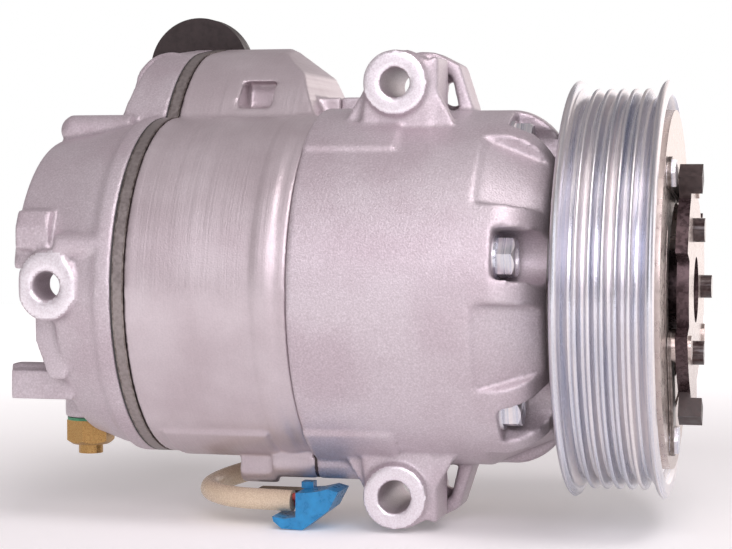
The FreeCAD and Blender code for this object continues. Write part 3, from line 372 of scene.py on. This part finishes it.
# Each plain finish: name, two colours, two roughnesses, grain scale, bump depth, metallic.
PLAIN_FINISHES = [
    ("gasket", (0.02, 0.02, 0.02), (0.06, 0.05, 0.05), (0.5, 0.7), 900),
    ("spring_steel", (0.16, 0.13, 0.12), (0.34, 0.30, 0.28), (0.28, 0.45), 700, 0.00003, 0.9),
    ("plate_steel", (0.27, 0.235, 0.23), (0.35, 0.31, 0.30), (0.34, 0.48), 900, 0.00003, 0.8),
    ("rubber", (0.030, 0.018, 0.017), (0.060, 0.040, 0.038), (0.35, 0.6), 600, 0.00008),
    ("green_rubber", (0.05, 0.25, 0.12), (0.10, 0.38, 0.20), (0.35, 0.5), 500),
    ("steel", (0.54, 0.46, 0.43), (0.62, 0.54, 0.50), (0.25, 0.36), 420, 0.00001, 0.9),
    ("brass", (0.38, 0.22, 0.08), (0.47, 0.29, 0.11), (0.24, 0.34), 1800, 0.00002, 0.9),
    ("piston_aluminium", (0.60,) * 3, (0.74,) * 3, (0.3, 0.4), 900, 0.00002, 0.9),
    ("black_steel", (0.035, 0.022, 0.022), (0.075, 0.052, 0.050), (0.10, 0.22), 700, 0.00001),
    ("coil_resin", (0.07, 0.05, 0.04), (0.13, 0.10, 0.08), (0.5, 0.7), 400),
    ("sleeve", (0.66, 0.52, 0.37), (0.74, 0.61, 0.45), (0.22, 0.32), 2600, 0.00002),
    ("wire", (0.30, 0.03, 0.02), (0.42, 0.05, 0.04), (0.3, 0.45), 600),
    ("blue_plastic", (0.014, 0.20, 0.44), (0.024, 0.28, 0.58), (0.25, 0.4), 500, 0.00004),
    ("black_plastic", (0.016, 0.008, 0.008), (0.030, 0.018, 0.018), (0.4, 0.6), 420),
]


def make_finishes():
    """Every finish by the name of its slot, and two that only scene.py uses."""
    made = {
        "cast_aluminium": cast_aluminium(),
        "machined_aluminium": machined_aluminium(),
        "zinc_steel": zinc_steel(),
        "faced_aluminium": faced_aluminium(),
        "clutch_plate": clutch_plate(),
    }
    for name, *how in PLAIN_FINISHES:
        made[name] = plain(name, *how)
    return made


# ---- castings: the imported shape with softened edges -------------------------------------
def evaluated_mesh(obj):
    graph = bpy.context.evaluated_depsgraph_get()
    graph.update()
    return bpy.data.meshes.new_from_object(obj.evaluated_get(graph), depsgraph=graph)


def soften(node, voxel, passes):
    """A copy of a casting whose sharp corners are rounded as the real casting's are."""
    work = bpy.data.objects.new(node + "_work", NODES[node].data.copy())
    add_to_scene(work)
    remesh = work.modifiers.new("voxels", "REMESH")
    remesh.mode = "VOXEL"
    remesh.voxel_size = voxel
    relax = work.modifiers.new("relax", "SMOOTH")
    relax.factor = CAST_RELAX
    relax.iterations = passes
    mesh = evaluated_mesh(work)
    bpy.data.objects.remove(work)
    piece = bpy.data.objects.new(node + "_cast", mesh)
    add_to_scene(piece)
    return piece


def face_array(mesh, field):
    values = np.empty(len(mesh.polygons) * 3)
    mesh.polygons.foreach_get(field, values)
    return values.reshape(-1, 3)


def face_the_ears(mesh, finish):
    """Gives the flat near faces of the mounting ears their cutter-bright finish."""
    mesh.materials.append(finish)
    centre = face_array(mesh, "center")
    flat = face_array(mesh, "normal")[:, 1] < TOWARDS_VIEWER
    bright = np.zeros(len(mesh.polygons), bool)
    for mount in frame["record"]["mounts"]:
        if "ear" not in mount["name"]:
            continue
        place = mount["pos_m"]
        near = place[1] - mount["dims"]["length_mm"] * MM / 2
        away = np.hypot(centre[:, 0] - place[0], centre[:, 2] - place[2])
        at_face = abs(centre[:, 1] - near) < EAR_FACE_DEPTH
        bright |= flat & (away < EAR_FACE_R) & at_face
    mesh.polygons.foreach_set("material_index", bright.astype(np.int32))
    mesh.update()


def thin_out(piece):
    """Brings the piece down to the casting's share of triangles, two to each voxel face."""
    triangles = len(piece.data.polygons) * 2
    if triangles > CAST_TRIANGLES:
        thin = piece.modifiers.new("thin", "DECIMATE")
        thin.ratio = CAST_TRIANGLES / triangles
        piece.data = evaluated_mesh(piece)
        piece.modifiers.clear()


def build_casting(node, finishes):
    voxel = CAST_VOXEL
    piece = soften(node, voxel, CAST_PASSES)
    thin_out(piece)
    mesh = piece.data
    mesh.shade_smooth()
    mesh.materials.clear()
    mesh.materials.append(finishes[SLOT_OF[node]])
    if node in CASTINGS_WITH_EARS:
        face_the_ears(mesh, finishes["faced_aluminium"])
    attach(piece, "housing")
    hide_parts(node)


# ---- everything -------------------------------------------------------------------------
make_camera()
make_world()
for row in LIGHTS:
    area_light(*row)
make_stage()

finishes = make_finishes()
for node, slot in SLOT_OF.items():
    for place in NODES[node].material_slots:
        place.material = finishes[slot]
NODES["clutch_hub"].material_slots[0].material = finishes["clutch_plate"]
for node in CASTINGS:
    build_casting(node, finishes)
